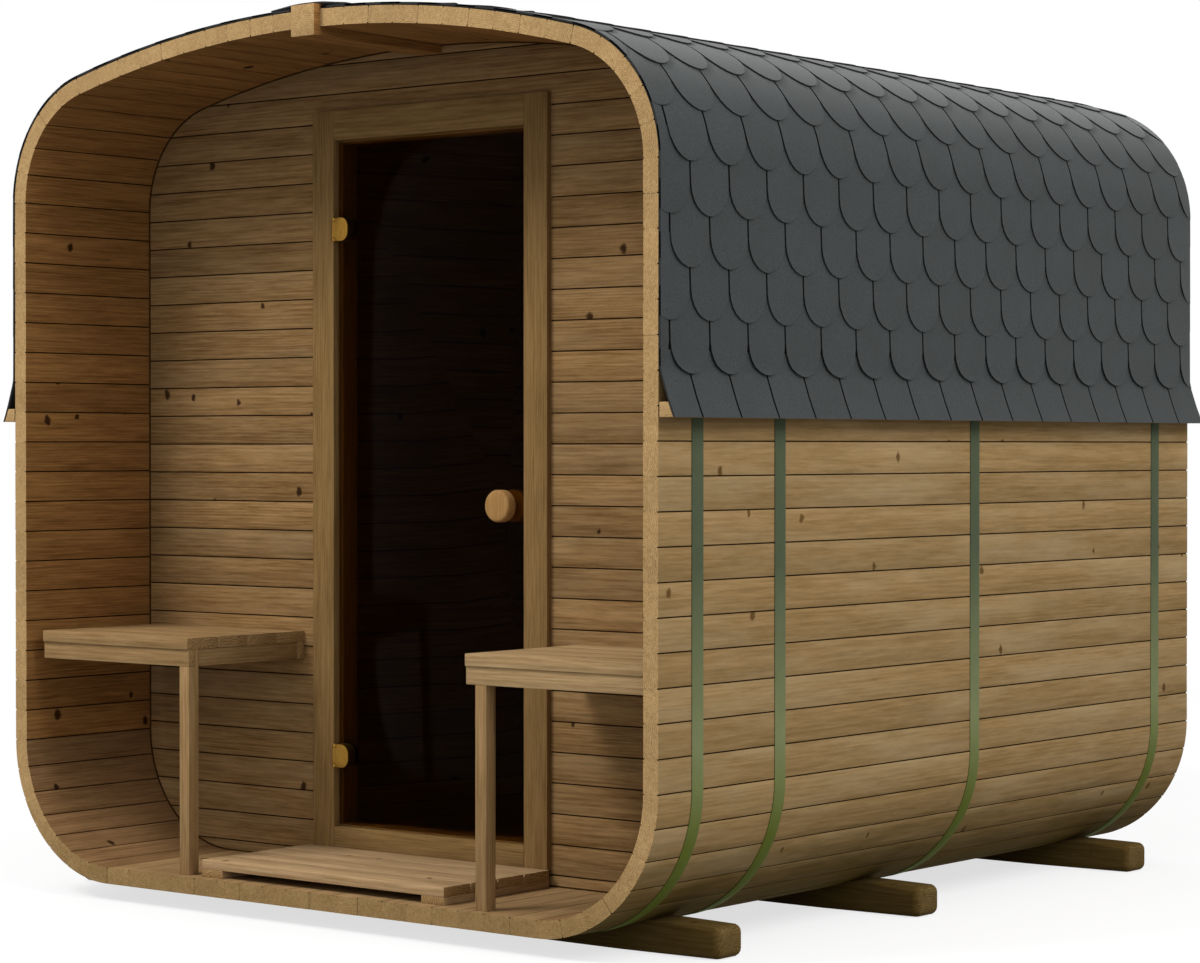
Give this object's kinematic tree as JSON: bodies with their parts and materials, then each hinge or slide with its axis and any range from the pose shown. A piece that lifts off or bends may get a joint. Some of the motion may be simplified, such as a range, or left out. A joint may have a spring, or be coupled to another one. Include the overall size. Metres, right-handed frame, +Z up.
{
  "type": "barrel sauna",
  "caption": "Rounded-square barrel sauna of wooden staves with steel hoops, shingled roof, open porch with benches and step, and a hinged glass door.",
  "frame": {"origin": "on the ground, under the middle of the bounding box", "axes": "+X to the right when facing the porch, +Y from the porch to the back, +Z up"},
  "size_m": [2.2278, 2.47, 2.2332],
  "materials": {
    "stave_wood": "oiled heat-treated softwood, matt",
    "beam_wood": "oiled heat-treated softwood, matt",
    "wall_wood": "oiled heat-treated softwood, matt",
    "frame_wood": "planed softwood, satin",
    "tinted_glass": "dark bronze tempered glass",
    "knob_wood": "turned pale wood, satin",
    "hinge_brass": "satin golden brass",
    "bench_wood": "planed softwood, matt",
    "step_wood": "planed softwood, matt",
    "hoop_steel": "grey-green, satin",
    "shingle": "mineral-faced bitumen, matt",
    "skid_wood": "dark impregnated timber, matt"
  },
  "bodies": {
    "cabin": {"back_wall": "wall_wood", "door_head": "frame_wood", "door_threshold": "frame_wood", "floor_staves": "stave_wood", "front_hoop": "hoop_steel", "front_skid": "skid_wood", "front_wall_left": "wall_wood", "front_wall_over_door": "wall_wood", "front_wall_right": "wall_wood", "front_wall_sill": "wall_wood", "left_bench_leg": "bench_wood", "left_bench_rails": "bench_wood", "left_bench_top": "bench_wood", "left_eaves_batten": "beam_wood", "left_jamb": "frame_wood", "left_roof_staves": "stave_wood", "left_shingles": "shingle", "left_wall_staves": "stave_wood", "lower_hinge_bracket": "hinge_brass", "lower_left_staves": "stave_wood", "lower_right_staves": "stave_wood", "middle_hoop": "hoop_steel", "middle_skid": "skid_wood", "porch_hoop": "hoop_steel", "rear_hoop": "hoop_steel", "rear_skid": "skid_wood", "ridge_beam": "beam_wood", "ridge_cap": "shingle", "right_bench_leg": "bench_wood", "right_bench_rails": "bench_wood", "right_bench_top": "bench_wood", "right_eaves_batten": "beam_wood", "right_jamb": "frame_wood", "right_roof_staves": "stave_wood", "right_shingles": "shingle", "right_wall_staves": "stave_wood", "step_boards": "step_wood", "step_runners": "step_wood", "upper_hinge_bracket": "hinge_brass", "upper_left_staves": "stave_wood", "upper_right_staves": "stave_wood"},
    "door": {"door_glass": "tinted_glass", "outer_knob": "knob_wood", "inner_knob": "knob_wood", "upper_hinge_clamp": "hinge_brass", "lower_hinge_clamp": "hinge_brass"}
  },
  "joints": [
    {"name": "door_swing", "type": "hinge", "parent": "cabin", "child": "door", "pos_m": [-0.311, -0.796, 1.0445], "axis": [0, 0, -1], "range_deg": [0, 100]}
  ]
}
